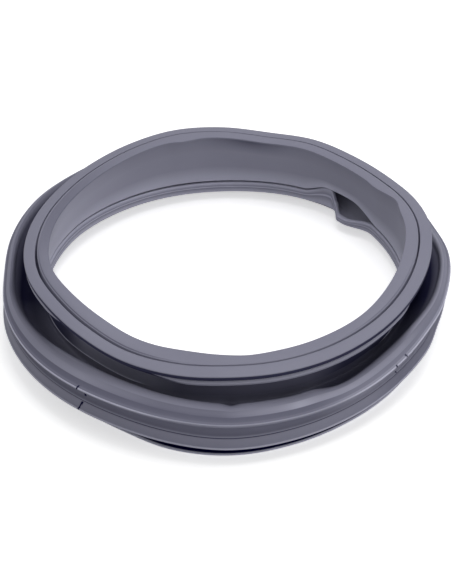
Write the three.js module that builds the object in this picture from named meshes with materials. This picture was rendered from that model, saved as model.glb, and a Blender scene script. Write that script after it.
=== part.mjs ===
// Door seal of a front-loading washing machine: one moulded ring of soft rubber.
// It lies as it would on a bench, door side down and tub side up.
// Millimetres, +Z up. Its flat door-side face is at z = 0 and its outline is centred on the origin.
// Angles are in degrees, from the near side (-Y) round towards +X.

import * as THREE from 'three';
import { mergeVertices } from 'three/addons/utils/BufferGeometryUtils.js';

// Whole ring
const RING_HEIGHT = 77;
const WALL = 3.8;

// Collar on the tub side, with the slot that the tub's lip slides into
const COLLAR_INNER_RADIUS = 155.8;
const COLLAR_WIDTH = 22.4;
const COLLAR_FALL = 3;
const COLLAR_ROUNDING = 1;
const COLLAR_RIM_HEIGHT = 4.1;
const TUB_SLOT_INSET = 10.4;
const TUB_SLOT_WIDTH = 0.9;
const TUB_SLOT_GAPE = 1.5;
const TUB_SLOT_DEPTH = 10;

// Groove and lip round the collar for the wire that clamps it to the tub
const WIRE_GROOVE_DEPTH = 5.1;
const WIRE_GROOVE_WIDTH = 1.4;
const WIRE_LIP_HEIGHT = 4.4;
const WIRE_LIP_SETBACK = 1.6;
const WIRE_LIP_TUCK = 3;

// Neck between the collar and the fold
const NECK_RADIUS = 164.2;
const NECK_TOP_HEIGHT = 62;
const NECK_ROUNDING = 2;

// Root where the fold joins the neck
const ROOT_HEIGHT = 32;
const ROOT_WIDTH = 6.5;
const ROOT_ROUNDING = 2.5;

// Fold that lets the tub swing: ridged crest, top, brow, shoulder and flank
const CREST_RADIUS = 197.6;
const CREST_HEIGHT = 44.6;
const RIDGE_HEIGHT = 46.5;
const RIDGE_ROUNDING = 0.8;
const TROUGH_INSET = 5.5;
const TROUGH_HEIGHT = 47.6;
const TROUGH_ROUNDING = 2;
const SHOULDER_RADIUS = 174.8;
const SHOULDER_HEIGHT = 52.2;
const SHOULDER_ROUNDING = 1.5;
const TOP_INSET = 10;
const TOP_FALL = 1;
const TOP_ROUNDING = 3.5;
const BROW_SETBACK = 4.5;
const BROW_ROUNDING = 4;
const FLANK_SETBACK = 1.2;
const FLANK_HEIGHT = 40;
const FLANK_ROUNDING = 3;

// The same places where the fold is pinched to a narrow crest, at the sides and the back
const PINCHED_TROUGH_INSET = 2.5;
const PINCHED_TOP_INSET = 4;
const PINCHED_TOP_FALL = 1.8;
const PINCHED_BROW_INSET = 8.5;
const PINCHED_BROW_FALL = 1.2;
const PINCHED_SHOULDER_FALL = 6.5;
const PINCHED_FLANK_INSET = 17.5;
const PINCHED_FLANK_FALL = 3.5;
const SHOULDER_TRAVEL = 0.8;
const UNDERSIDE_TRIM = 1;

// Waist under the crest, and the skirt below it
const WAIST_DEPTH = 4;
const WAIST_TOP = 39.5;
const WAIST_FOOT = 34;
const WAIST_ROUNDING = 3;
const SKIRT_TOP_HEIGHT = 30.4;
const SKIRT_TOP_RADIUS = 196.4;
const HEM_RADIUS = 198.6;
const HEM_HEIGHT = 21.2;
const HEM_ROUNDING = 1;

// Foot that lies on the front panel, and the slot for the panel's edge above it
const FOOT_OUTER_RADIUS = 186.6;
const FOOT_INNER_RADIUS = 176;
const FOOT_THICKNESS = 6.4;
const FOOT_ROUNDING = 1.2;
const PANEL_SLOT_WIDTH = 3.6;
const PANEL_SLOT_DEPTH = 8;

// Lip that the door glass presses on
const LIP_RADIUS = 161.2;
const LIP_TIP_HEIGHT = 13;
const LIP_HEIGHT = 22.6;
const LIP_LEAN = 1.4;
const LIP_ROUNDING = 1.2;

// Inner sleeve, from the collar down to just above the lip
const SLEEVE_FOOT_RADIUS = 162.6;
const SLEEVE_GAP = 2;
const SLEEVE_SWELL = 0.6;

// Moulded pocket in the lip: the sleeve's foot arches up over it, beside a raised apron
const ARCH_FROM = 118.5;
const ARCH_TO = 152;
const ARCH_EASE_IN = 13;
const ARCH_EASE_OUT = 10;
const ARCH_HEIGHT = 9.5;
const ARCH_FADE_FROM = 28;
const ARCH_FADE_TO = 48;
const APRON_FROM = 138.8;
const APRON_EASE = 2.4;
const APRON_LEAN = 3;
const POCKET_FROM = 121;
const POCKET_TO = 139.5;
const POCKET_EASE_IN = 11.5;
const POCKET_EASE_OUT = 5;
const POCKET_BULGE = 10;
const POCKET_DROP = 5;
const POCKET_FLOOR_HEIGHT = 6;

// Where the tub slot gapes at the front corners, and where the wire lip is tucked in
const GAPE_LEFT = [262, 352];
const GAPE_RIGHT = [28, 80];
const GAPE_EASE = 20;
const TUCK_ANGLES = [300, 350];
const TUCK_EASE = 14;

// How the soft ring has warped: heights and radii gained at even steps round it
const TOP_RISE = [
  -2, -2.5, -2, 0, 2.5, 5, 6, 2, -3, -4, -2.2, -3.9,
  0, 2.5, 0.5, -2.5, -4, -2.8, 0, 4.9, 9, 5.5, 0.5, -1.5,
];
const TOP_SWELL = [0, 1.5, 2.5, 4, 2, 0, 0, -1, -1, -1.5, -1.5, -1.5];
const CREST_RISE = [-4.5, -7, -1, 0.5, 0.5, 1, 2, 4.5, 7, -2, -2.5, -0.5];
const HEM_RISE = [-4.5, -2.5, 4.5, 7, 4.5, 2, 0.5, 0, 0, 1, 1.5, 1.5];
const BODY_SWELL = [
  6, 3.5, 1, -0.5, -1.5, -2.8, 0.8, -0.5, -1.8, -0.7, 0.5, 0.8,
  1, 1.2, 1.5, 0.2, 2.5, 2.8, 0, 2, 2.5, 2.6, 3, 4.6,
];
const FOOT_SWELL = [
  8.5, 5.5, 2, 0, -1.5, -1, -0.5, 0, 0, 0, 0.5, 1,
  1, 1, 1.5, 2, 2, 2, 1.5, 2, 1, -2.5, -1.5, 5.8,
];
const BORE_SHRINK = [
  1.8, 1.6, 1.3, 0, 1, 1.5, 0.5, 0, 0, 0, 0, 0,
  0, 0, 0, 0, 0, 0, 0, -0.3, 1.2, 3.2, 3.8, 4.2,
];
const LIP_RISE = [0, -1, -2, -2.5, -2, -1, -3, 0, 4.8, 5, 3, 1];
const LIP_SWELL = [0, -0.5, -1, -2, -1, 0, 0, 0.5, 1, 1, 0.5, 0];

// How far the pinched crest has moved the fold's brow outwards, at even steps round the ring
const BROW_SHIFT = [
  1, 1.2, 6.5, 7, 9.3, 12.5, 13, 13, 13, 13, 13, 13,
  13, 13, 13, 13, 13, 13, 13, 10, 3, -1.5, -1.2, 1,
];

// Columns round the ring, closer together at the pocket
const COLUMNS = 80;
const COLUMN_CROWDING = 0.35;

const RUBBER_COLOUR = 0x8c8b99;
const RUBBER_ROUGHNESS = 0.55;

// Share from 0 to 1 with soft ends
function ease(share) {
  const held = THREE.MathUtils.clamp(share, 0, 1);
  return held * held * (3 - 2 * held);
}

// Signed angle from a centre, from -180 to 180
function away(degrees, centre) {
  return ((((degrees - centre) % 360) + 540) % 360) - 180;
}

// 1 between two angles, with soft ends that lie inside them
function between(degrees, from, to, easeIn, easeOut) {
  return ease(away(degrees, from) / easeIn) * ease(away(to, degrees) / easeOut);
}

// Value between two levels, held at the ends
function ramp(low, high, height, lowHeight, highHeight) {
  const share = THREE.MathUtils.clamp((height - lowHeight) / (highHeight - lowHeight), 0, 1);
  return low + (high - low) * share;
}

// Smooth curve through values given at even steps round a full turn
function around(values, degrees) {
  const place = (((degrees % 360) + 360) % 360) / (360 / values.length);
  const first = Math.floor(place);
  const u = place - first;
  const at = (step) => values[(first + step + values.length) % values.length];
  const slopeIn = (at(1) - at(-1)) / 2;
  const slopeOut = (at(2) - at(0)) / 2;
  const blend = ease(u);
  const bend = u * (1 - u) * ((1 - u) * slopeIn - u * slopeOut);
  return at(0) * (1 - blend) + at(1) * blend + bend;
}

// A corner of the section, cut to a short curve where it is rounded
function corner(radius, height, rounding = 0, steps = 1) {
  return { place: new THREE.Vector2(radius, height), rounding, steps };
}

// Points of the closed section with its corners rounded
function roundCorners(corners) {
  return corners.flatMap(({ place, rounding, steps }, index) => {
    if (rounding === 0) {
      return [place];
    }
    const before = corners[(index + corners.length - 1) % corners.length].place;
    const after = corners[(index + 1) % corners.length].place;
    const ends = [before, after].map((neighbour) => {
      const way = neighbour.clone().sub(place);
      return place.clone().add(way.clampLength(0, Math.min(rounding, way.length() / 2)));
    });
    return new THREE.QuadraticBezierCurve(ends[0], place, ends[1]).getPoints(steps);
  });
}

// Key places of the fold at an angle: flat-topped at the front, pinched at the sides and the back
function foldPlaces(degrees) {
  const shift = around(BROW_SHIFT, degrees);
  const pinch = THREE.MathUtils.clamp(shift / Math.max(...BROW_SHIFT), 0, 1);
  const mix = (open, pinched) => open.map((value, index) => ramp(value, pinched[index], pinch, 0, 1));
  return {
    trough: mix(
      [CREST_RADIUS - TROUGH_INSET, TROUGH_HEIGHT],
      [CREST_RADIUS - PINCHED_TROUGH_INSET, TROUGH_HEIGHT],
    ),
    top: mix(
      [CREST_RADIUS - TOP_INSET, SHOULDER_HEIGHT - TOP_FALL],
      [CREST_RADIUS - PINCHED_TOP_INSET, SHOULDER_HEIGHT - PINCHED_TOP_FALL],
    ),
    brow: mix(
      [SHOULDER_RADIUS + BROW_SETBACK, SHOULDER_HEIGHT],
      [CREST_RADIUS - PINCHED_BROW_INSET, SHOULDER_HEIGHT - PINCHED_BROW_FALL],
    ),
    shoulder: [SHOULDER_RADIUS + SHOULDER_TRAVEL * shift, SHOULDER_HEIGHT - PINCHED_SHOULDER_FALL * pinch],
    flank: mix(
      [SHOULDER_RADIUS - FLANK_SETBACK, FLANK_HEIGHT],
      [CREST_RADIUS - PINCHED_FLANK_INSET, FLANK_HEIGHT - PINCHED_FLANK_FALL],
    ),
  };
}

// Foot, hem and skirt, upwards on the outside
function skirtCorners() {
  const slotEnd = FOOT_OUTER_RADIUS - PANEL_SLOT_DEPTH;
  const slotTop = FOOT_THICKNESS + PANEL_SLOT_WIDTH;
  const waist = CREST_RADIUS - WAIST_DEPTH;
  return [
    corner(FOOT_INNER_RADIUS, 0),
    corner(FOOT_OUTER_RADIUS, 0, FOOT_ROUNDING),
    corner(FOOT_OUTER_RADIUS, FOOT_THICKNESS, FOOT_ROUNDING),
    corner(slotEnd, FOOT_THICKNESS),
    corner(slotEnd, slotTop),
    corner(FOOT_OUTER_RADIUS - FOOT_ROUNDING, slotTop),
    corner(FOOT_OUTER_RADIUS + WALL, HEM_HEIGHT - WALL, WALL),
    corner(HEM_RADIUS, HEM_HEIGHT - HEM_ROUNDING),
    corner(HEM_RADIUS, HEM_HEIGHT + HEM_ROUNDING),
    corner(SKIRT_TOP_RADIUS, SKIRT_TOP_HEIGHT, HEM_ROUNDING),
    corner(waist, WAIST_FOOT, WAIST_ROUNDING),
    corner(waist, WAIST_TOP, WAIST_ROUNDING),
  ];
}

// Fold and neck, upwards on the outside
function foldCorners({ trough, top, brow, shoulder, flank }) {
  return [
    corner(CREST_RADIUS, CREST_HEIGHT),
    corner(CREST_RADIUS, RIDGE_HEIGHT, RIDGE_ROUNDING),
    corner(...trough, TROUGH_ROUNDING),
    corner(...top, TOP_ROUNDING, 2),
    corner(...brow, BROW_ROUNDING, 2),
    corner(...shoulder, SHOULDER_ROUNDING),
    corner(...flank, FLANK_ROUNDING, 2),
    corner(NECK_RADIUS + ROOT_WIDTH, ROOT_HEIGHT, ROOT_ROUNDING),
    corner(NECK_RADIUS, ROOT_HEIGHT),
    corner(NECK_RADIUS, NECK_TOP_HEIGHT, NECK_ROUNDING),
  ];
}

// Radius of the collar's bore before the warp, drawn in where the slot gapes
function boreRadius(degrees) {
  return COLLAR_INNER_RADIUS - around(BORE_SHRINK, degrees);
}

// Collar with its wire groove and tub slot, from the neck over the top to the bore
function collarCorners(degrees) {
  const rimRadius = COLLAR_INNER_RADIUS + COLLAR_WIDTH;
  const rimHeight = RING_HEIGHT - COLLAR_FALL;
  const grooveTop = rimHeight - COLLAR_RIM_HEIGHT;
  const grooveFoot = grooveTop - WIRE_GROOVE_WIDTH;
  const tuck = WIRE_LIP_TUCK * between(degrees, ...TUCK_ANGLES, TUCK_EASE, TUCK_EASE);
  const lipRadius = rimRadius - WIRE_LIP_SETBACK - tuck;
  const gapeLeft = between(degrees, ...GAPE_LEFT, GAPE_EASE, GAPE_EASE);
  const gapeRight = between(degrees, ...GAPE_RIGHT, GAPE_EASE, GAPE_EASE);
  const slotInner = COLLAR_INNER_RADIUS + TUB_SLOT_INSET;
  const slotOuter = slotInner + TUB_SLOT_WIDTH + TUB_SLOT_GAPE * (gapeLeft + gapeRight);
  const slotFoot = RING_HEIGHT - TUB_SLOT_DEPTH;
  return [
    corner(lipRadius, grooveFoot - WIRE_LIP_HEIGHT, COLLAR_ROUNDING),
    corner(lipRadius, grooveFoot),
    corner(rimRadius - WIRE_GROOVE_DEPTH, grooveFoot),
    corner(rimRadius - WIRE_GROOVE_DEPTH, grooveTop),
    corner(rimRadius, grooveTop),
    corner(rimRadius, rimHeight, COLLAR_ROUNDING),
    corner(slotOuter, RING_HEIGHT - COLLAR_ROUNDING),
    corner(slotOuter, slotFoot),
    corner(slotInner, slotFoot),
    corner(slotInner, RING_HEIGHT - COLLAR_ROUNDING / 2),
    corner(boreRadius(degrees), RING_HEIGHT, COLLAR_ROUNDING),
  ];
}

// Sleeve and the hollow's wall behind it, downwards along the underside of fold, skirt and lip
function insideCorners(degrees, { top, brow, shoulder, flank }) {
  const sleeveFoot = LIP_HEIGHT + SLEEVE_GAP;
  const sleeveMiddle = (SLEEVE_FOOT_RADIUS + boreRadius(degrees)) / 2 + SLEEVE_SWELL;
  const waist = CREST_RADIUS - WAIST_DEPTH - WALL;
  const slotEnd = FOOT_OUTER_RADIUS - PANEL_SLOT_DEPTH;
  const slotTop = FOOT_THICKNESS + PANEL_SLOT_WIDTH;
  const lipTop = LIP_RADIUS + LIP_LEAN;
  return [
    corner(sleeveMiddle, (sleeveFoot + RING_HEIGHT) / 2),
    corner(SLEEVE_FOOT_RADIUS, sleeveFoot),
    corner(SLEEVE_FOOT_RADIUS + WALL, sleeveFoot),
    corner(SLEEVE_FOOT_RADIUS + WALL, ROOT_HEIGHT - WALL),
    corner(NECK_RADIUS + ROOT_WIDTH + WALL / 2, ROOT_HEIGHT - WALL),
    corner(flank[0] + WALL, flank[1] - WALL / 2),
    corner(shoulder[0] + WALL, shoulder[1] - WALL),
    corner(brow[0] + UNDERSIDE_TRIM, brow[1] - WALL),
    corner(top[0] - UNDERSIDE_TRIM, top[1] - WALL),
    corner(CREST_RADIUS - WALL, CREST_HEIGHT - UNDERSIDE_TRIM),
    corner(waist, WAIST_TOP),
    corner(waist, WAIST_FOOT),
    corner(SKIRT_TOP_RADIUS - WALL, SKIRT_TOP_HEIGHT),
    corner(HEM_RADIUS - WALL, HEM_HEIGHT + WALL),
    corner(FOOT_OUTER_RADIUS, HEM_HEIGHT + HEM_ROUNDING),
    corner(slotEnd, slotTop + WALL),
    corner(lipTop + WALL, LIP_TIP_HEIGHT),
    corner(lipTop + WALL, LIP_HEIGHT),
    corner(lipTop, LIP_HEIGHT, LIP_ROUNDING),
    corner(LIP_RADIUS, LIP_TIP_HEIGHT),
    corner(LIP_RADIUS + LIP_ROUNDING, LIP_TIP_HEIGHT - LIP_ROUNDING),
  ];
}

// The closed section at an angle
function sectionAt(degrees) {
  const fold = foldPlaces(degrees);
  return roundCorners([
    ...skirtCorners(),
    ...foldCorners(fold),
    ...collarCorners(degrees),
    ...insideCorners(degrees, fold),
  ]);
}

// Warp of the outer wall at a height: from the flat foot by hem and crest to the collar
function outerWarp(height, degrees) {
  const hem = ramp(0, around(HEM_RISE, degrees), height, 0, HEM_HEIGHT);
  const crest = ramp(hem, around(CREST_RISE, degrees), height, SKIRT_TOP_HEIGHT, CREST_HEIGHT);
  const foot = around(FOOT_SWELL, degrees);
  const body = ramp(foot, around(BODY_SWELL, degrees), height, FOOT_THICKNESS, HEM_HEIGHT);
  return {
    swell: ramp(body, around(TOP_SWELL, degrees), height, SHOULDER_HEIGHT, NECK_TOP_HEIGHT),
    rise: ramp(crest, around(TOP_RISE, degrees), height, SHOULDER_HEIGHT, NECK_TOP_HEIGHT),
  };
}

// Warp of the lip and the sleeve at a height
function innerWarp(height, degrees) {
  const lip = ramp(0, around(LIP_RISE, degrees), height, 0, LIP_TIP_HEIGHT);
  const lipSwell = around(LIP_SWELL, degrees);
  return {
    swell: ramp(lipSwell, around(TOP_SWELL, degrees), height, LIP_HEIGHT, NECK_TOP_HEIGHT),
    rise: ramp(lip, around(TOP_RISE, degrees), height, LIP_HEIGHT, NECK_TOP_HEIGHT),
  };
}

// The pocket: the sleeve's foot and the fold's root arch up, and the lip bulges inwards beside its apron
function pocketWarp(point, degrees) {
  const arch = ARCH_HEIGHT * between(degrees, ARCH_FROM, ARCH_TO, ARCH_EASE_IN, ARCH_EASE_OUT);
  if (point.x < SLEEVE_FOOT_RADIUS + WALL + LIP_LEAN && point.y <= LIP_HEIGHT) {
    const apron = arch * ease((degrees - APRON_FROM) / APRON_EASE);
    const pocket = between(degrees, POCKET_FROM, POCKET_TO, POCKET_EASE_IN, POCKET_EASE_OUT);
    const high = ramp(0, 1, point.y, LIP_TIP_HEIGHT - LIP_ROUNDING, LIP_HEIGHT);
    const bulge = POCKET_BULGE * pocket * ramp(0, 1, point.y, POCKET_FLOOR_HEIGHT, LIP_TIP_HEIGHT);
    return {
      swell: (APRON_LEAN * apron * high) / ARCH_HEIGHT - bulge,
      rise: (apron - POCKET_DROP * pocket) * high,
    };
  }
  if (point.y > LIP_HEIGHT) {
    const low = ramp(1, 0, point.y, ARCH_FADE_FROM, ARCH_FADE_TO);
    const near = ramp(1, 0, point.x, NECK_RADIUS + WALL, CREST_RADIUS - 2 * WALL);
    return { swell: 0, rise: arch * low * near };
  }
  return { swell: 0, rise: 0 };
}

// Where a section point lies on the warped ring
function placeOnRing(point, degrees) {
  const outer = outerWarp(point.y, degrees);
  const inner = innerWarp(point.y, degrees);
  const pocket = pocketWarp(point, degrees);
  const outward = ramp(0, 1, point.x, SLEEVE_FOOT_RADIUS + WALL, FOOT_INNER_RADIUS + WALL);
  const radius = point.x + ramp(inner.swell, outer.swell, outward, 0, 1) + pocket.swell;
  const height = point.y + ramp(inner.rise, outer.rise, outward, 0, 1) + pocket.rise;
  const angle = THREE.MathUtils.degToRad(degrees);
  return new THREE.Vector3(radius * Math.sin(angle), -radius * Math.cos(angle), height);
}

// Angle of a column, with the columns drawn together round the pocket
function columnAngle(column) {
  const even = (360 * (column % COLUMNS)) / COLUMNS;
  const turn = THREE.MathUtils.degToRad(even);
  const opposite = (ARCH_FROM + ARCH_TO) / 2 - 180;
  const degrees = opposite + even + THREE.MathUtils.radToDeg(COLUMN_CROWDING * Math.sin(turn));
  return (degrees + 360) % 360;
}

function makeSeal() {
  const outline = sectionAt(0);
  const closed = [...outline, outline[0]];
  const geometry = new THREE.LatheGeometry(closed, COLUMNS);
  const position = geometry.attributes.position;
  for (let column = 0; column <= COLUMNS; column += 1) {
    const degrees = columnAngle(column);
    const points = sectionAt(degrees);
    for (let row = 0; row < closed.length; row += 1) {
      const place = placeOnRing(points[row % points.length], degrees);
      position.setXYZ(column * closed.length + row, place.x, place.y, place.z);
    }
  }
  geometry.deleteAttribute('normal');
  geometry.deleteAttribute('uv');
  const merged = mergeVertices(geometry, 1e-5);
  merged.computeBoundingBox();
  const middle = merged.boundingBox.getCenter(new THREE.Vector3());
  merged.translate(-middle.x, -middle.y, 0);
  merged.computeVertexNormals();
  return merged;
}

const rubber = new THREE.MeshStandardMaterial({
  color: RUBBER_COLOUR,
  roughness: RUBBER_ROUGHNESS,
  metalness: 0,
});

const seal = new THREE.Mesh(makeSeal(), rubber);
seal.name = 'door_seal';

const part = new THREE.Group();
part.add(seal);

export default part;
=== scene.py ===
"""Looks of a washing machine door seal: one warped ring of grey moulded rubber on a pale floor."""
import math

import bpy
import numpy as np
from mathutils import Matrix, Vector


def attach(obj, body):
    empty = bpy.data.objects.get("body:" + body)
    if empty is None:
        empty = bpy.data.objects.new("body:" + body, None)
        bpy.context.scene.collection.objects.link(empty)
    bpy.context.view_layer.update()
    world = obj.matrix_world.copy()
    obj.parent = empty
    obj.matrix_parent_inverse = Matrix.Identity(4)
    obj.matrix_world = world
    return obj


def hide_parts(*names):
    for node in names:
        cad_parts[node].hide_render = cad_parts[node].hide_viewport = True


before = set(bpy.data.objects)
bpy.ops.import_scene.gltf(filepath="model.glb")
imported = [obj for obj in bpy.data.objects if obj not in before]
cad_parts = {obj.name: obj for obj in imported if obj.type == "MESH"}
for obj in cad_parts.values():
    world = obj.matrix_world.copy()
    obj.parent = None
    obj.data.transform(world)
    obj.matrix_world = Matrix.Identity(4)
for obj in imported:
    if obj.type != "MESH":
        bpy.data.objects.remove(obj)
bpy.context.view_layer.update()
NODE = "door_seal"

# Lengths below are in millimetres; angles are in degrees, from the near side (-Y) round towards +X.
MM = 0.001

# Where the ring's axis stands in the part's frame
RING_AXIS = (-0.37, 2.54)

# Whole ring
RING_HEIGHT = 77.0
WALL = 3.8

# Roundings that several corners of the section share
EDGE_ROUND = 0.3
BEAD_ROUND = 0.4
LIP_ROUND = 0.8
HOLLOW_ROUND = 2.0
BEND_ROUND = 3.0

# Foot and the slot for the panel's edge
FOOT_OUTER_RADIUS = 186.6
FOOT_INNER_RADIUS = 176.0
FOOT_THICKNESS = 6.4
FOOT_FACE_HEIGHT = 3.8
FOOT_BEVEL = 5.0
FOOT_SOLE_INSET = 1.0
FOOT_SOLE_ROUND = 1.0
FOOT_EDGE_ROUND = 1.2
FOOT_ARRIS_DEPTH = 0.5
FOOT_ARRIS_HALF_HEIGHT = 0.2
PANEL_SLOT_WIDTH = 3.6
PANEL_SLOT_DEPTH = 8.0
PANEL_SLOT_MOUTH_INSET = 1.0
PANEL_SLOT_MOUTH_ROUND = 1.5

# Hem with its bead
HEM_RADIUS = 198.6
HEM_HEIGHT = 21.2
HEM_BEAD = 0.8
HEM_BEAD_FOOT = 1.2
HEM_BEAD_TOP = 0.9
HEM_TONE_EDGE = 0.2
SKIRT_FOOT_INSET = 0.4
SKIRT_FOOT_RISE = 2.0
SKIRT_FOOT_ROUND = 0.6

# Skirt with the groove at its top
SKIRT_TOP_HEIGHT = 30.4
SKIRT_TOP_RADIUS = 196.4
SKIRT_EDGE_DROP = 0.5
SKIRT_GROOVE_DEPTH = 0.8
SKIRT_GROOVE_WIDTH = 0.6
SKIRT_GROOVE_LIP_RISE = 1.2
SKIRT_GROOVE_LIP_INSET = 0.3

# Waist, and the crest with its ridge and the trough behind it
WAIST_DEPTH = 4.0
WAIST_TOP = 39.5
WAIST_FOOT = 34.0
CREST_RADIUS = 197.6
CREST_HEIGHT = 44.6
CREST_ROUND = 1.2
RIDGE_HEIGHT = 46.5
RIDGE_SIZE = 0.8
TROUGH_EDGE_INSET = 1.6
TROUGH_EDGE_RISE = 0.2
TROUGH_INSET = 5.5
TROUGH_SIDE_SHIFT = 3.0
TROUGH_RISE = 1.1
TROUGH_ROUND = 3.5

# Fold: crest's top, brow, shoulder and flank, in front and at the sides where a valley lies behind
SHOULDER_RADIUS = 174.8
SHOULDER_HEIGHT = 52.2
SHOULDER_ROUND = 1.5
FLANK_FOOT_HEIGHT = 40.0
CREST_TOP_FRONT = (CREST_RADIUS - 10.0, SHOULDER_HEIGHT - 1.0)
CREST_TOP_SIDE = (CREST_RADIUS - 4.0, SHOULDER_HEIGHT - 1.8)
CREST_TOP_ROUND = 3.5
BROW_FRONT = (SHOULDER_RADIUS + 4.5, SHOULDER_HEIGHT)
BROW_SIDE = (CREST_RADIUS - 8.5, SHOULDER_HEIGHT - 1.2)
BROW_ROUND = 4.0
FLANK_FRONT = (SHOULDER_RADIUS - 1.2, FLANK_FOOT_HEIGHT)
FLANK_SIDE = (CREST_RADIUS - 17.5, FLANK_FOOT_HEIGHT - 3.5)
SHOULDER_SHARE_OF_SHIFT = 0.8
SHOULDER_SIDE_DROP = 6.5

# Neck between the collar and the fold, with a fine bead on its front
NECK_RADIUS = 164.2
NECK_TOP_HEIGHT = 62.0
ROOT_WIDTH = 6.5
ROOT_HEIGHT = 32.0
ROOT_ROUND = 2.5
NECK_ROOT_ROUND = 1.5
NECK_TOP_ROUND = 2.0
NECK_BEAD_HEIGHT = 40.0
NECK_BEAD = 0.9
NECK_BEAD_MIDDLE = 0.6
NECK_BEAD_WIDTH = 1.5
NECK_BEAD_STRETCHES = [(286, 338, 8), (50, 78, 6)]
NECK_BEAD_DIP = 3.5
NECK_BEAD_DIP_BELL = (300, 12)
NECK_BEAD_CLIMB = 2.6
NECK_BEAD_CLIMB_CENTRE = 60
NECK_BEAD_CLIMB_SPAN = 9
NECK_BEAD_CLIMB_STRETCH = (45, 90, 8)

# Groove and lip round the collar for the clamp wire
WIRE_GROOVE_DEPTH = 5.1
WIRE_GROOVE_WIDTH = 1.9
WIRE_LIP_HEIGHT = 4.4
WIRE_LIP_SETBACK = 0.2
WIRE_LIP_SLOPE = 2.2
WIRE_LIP_HIDDEN_SETBACK = 4.6
WIRE_LIP_HIDDEN_STRETCHES = [(300, 350, 14), (54, 160, 14)]
WIRE_LIP_LOWER_INSET = 0.6
WIRE_LIP_LOWER_WIDTH = 1.3
WIRE_LIP_LINE_INSET = 1.4
WIRE_LIP_LINE_HEIGHT = 1.7
WIRE_LIP_UPPER_HEIGHT = 2.0

# Collar on the tub side, with the slot for the tub's lip
COLLAR_INNER_RADIUS = 155.8
COLLAR_WIDTH = 22.4
COLLAR_FALL = 3.0
COLLAR_RIM_HEIGHT = 4.1
COLLAR_RIM_ROUND = 0.9
RIM_FOOT_ROUND = 0.2
RIM_FACE_TOP = 1.1
TUB_SLOT_INSET = 10.4
TUB_SLOT_WIDTH = 0.9
TUB_SLOT_MORE = 0.5
TUB_SLOT_NARROW_STRETCH = (-35, 35, 20)
TUB_SLOT_DEPTH = 10.0
TUB_SLOT_OUTER_DROP = 0.9
TUB_SLOT_OUTER_ROUND = 0.5
SLOT_BEAD_WIDTH = 1.5
SLOT_BEAD_EDGE = 0.3
SLOT_BEAD_EDGE_DROP = 0.35
SLOT_BEAD_TOP_DROP = 0.4
SLOT_BEAD_GAPE_DROP = 0.7

# The tub slot gapes at the front corners, where the collar is bent open
TUB_SLOT_GAPE = 1.2
GAPE_LEFT_STRETCH = (262, 352, 25)
GAPE_RIGHT_STRETCH = (28, 80, 20)
GAPE_RIGHT_SHARE = 0.6

# Sleeve inside the collar
BORE_ROUND = 0.7
BORE_EDGE_INSET = 0.2
BORE_EDGE_DROP = 2.2
SLEEVE_FOOT_RADIUS = 162.6
SLEEVE_GAP = 2.0
SLEEVE_BOW = 0.6
SLEEVE_BOW_ROUND = 9.0

# Small offsets of the hollow inside the fold, which only its slit shows
HOLLOW_BROW_SHIFT = 1.0
HOLLOW_CREST_SHIFT = 1.0
HOLLOW_CREST_ROUND = 1.0
HOLLOW_FOOT_RISE = 1.0

# Lip that the door glass presses on
LIP_RADIUS = 161.2
LIP_TIP_HEIGHT = 13.0
LIP_HEIGHT = 22.6
LIP_LEAN = 1.4
LIP_OUTER_ROUND = 1.2
LIP_INNER_ROUND = 1.0
LIP_TIP_SIZE = 1.2
LIP_RIB_HEIGHT = 18.6
LIP_RIB = 0.25
LIP_RIB_HALF_WIDTH = 0.8
LIP_LINE_TOP_INSET = 0.35
LIP_LINE_FOOT_INSET = 0.2

# How the soft ring has warped: heights and radii gained at even steps round it
TOP_RISE = [-2, -2.5, -2, 0, 2.5, 5, 6, 2, -3, -4, -2.2, -3.9,
            0, 2.5, 0.5, -2.5, -4, -2.8, 0, 4.9, 9, 5.2, -1.2, -3]
TOP_SWELL = [0, 1.5, 2.5, 3.4, 0.2, 0, 0, -1, -1, -1.5, -1.5, -1.5]
CREST_RISE = [-4.5, -7, -1, 0.5, 0.5, 1, 2, 4.5, 7, -2, -2.5, -0.5]
HEM_RISE = [-4.5, -2.5, 4.5, 7, 4.5, 2, 0.5, 0, 0, 1, 1.5, 1.5]
BODY_SWELL = [6, 3.5, 1, -0.5, -1.2, -0.8, 0.8, -1.8, -2.6, -0.7, 0.5, 0.8,
              1, 1.2, 1.5, 0.2, 2.5, 2.8, 0, 2, 2.5, 2.6, 3, 4.6]
FOOT_SWELL = [8.5, 5.5, 2, 0, -1.5, -1, -0.5, 0, 0, 0, 0.5, 1,
              1, 1, 1.5, 2, 2, 2, 1.5, 2, 1, -2.5, -1.5, 5.8]
LIP_RISE = [0, -1, -2, -2.5, -2, -1, -3, 0, 4.8, 5, 3, 1]
LIP_SWELL = [0, -0.5, -1, -2, -1, 0, 0, 0.5, 1, 1, 0.5, 0]

# How far the collar's inner edge stands in, and its local waves: angle, width and depth
BORE_SHRINK = [1.8, 1.6, 1.3, 0, 1, 1.5, 0.5, 0, 0, 0, 0, 0,
               0, 0, 0, 0, 0, 0, 0, -0.3, 1.2, 3.2, 3.8, 4.2]
BORE_WAVES = [(193.0, 5.0, 3.5), (117.0, 4.0, 1.2), (106.0, 5.0, -3.5),
              (6.0, 6.0, -1.2), (348.0, 8.0, 1.2)]

# On the right the skirt is tucked in below the crest, which hides it from the front
TUCK_STRETCH = (58, 104, 12)
SKIRT_TUCK = 3.0
CREST_SWELL = 1.4

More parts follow.
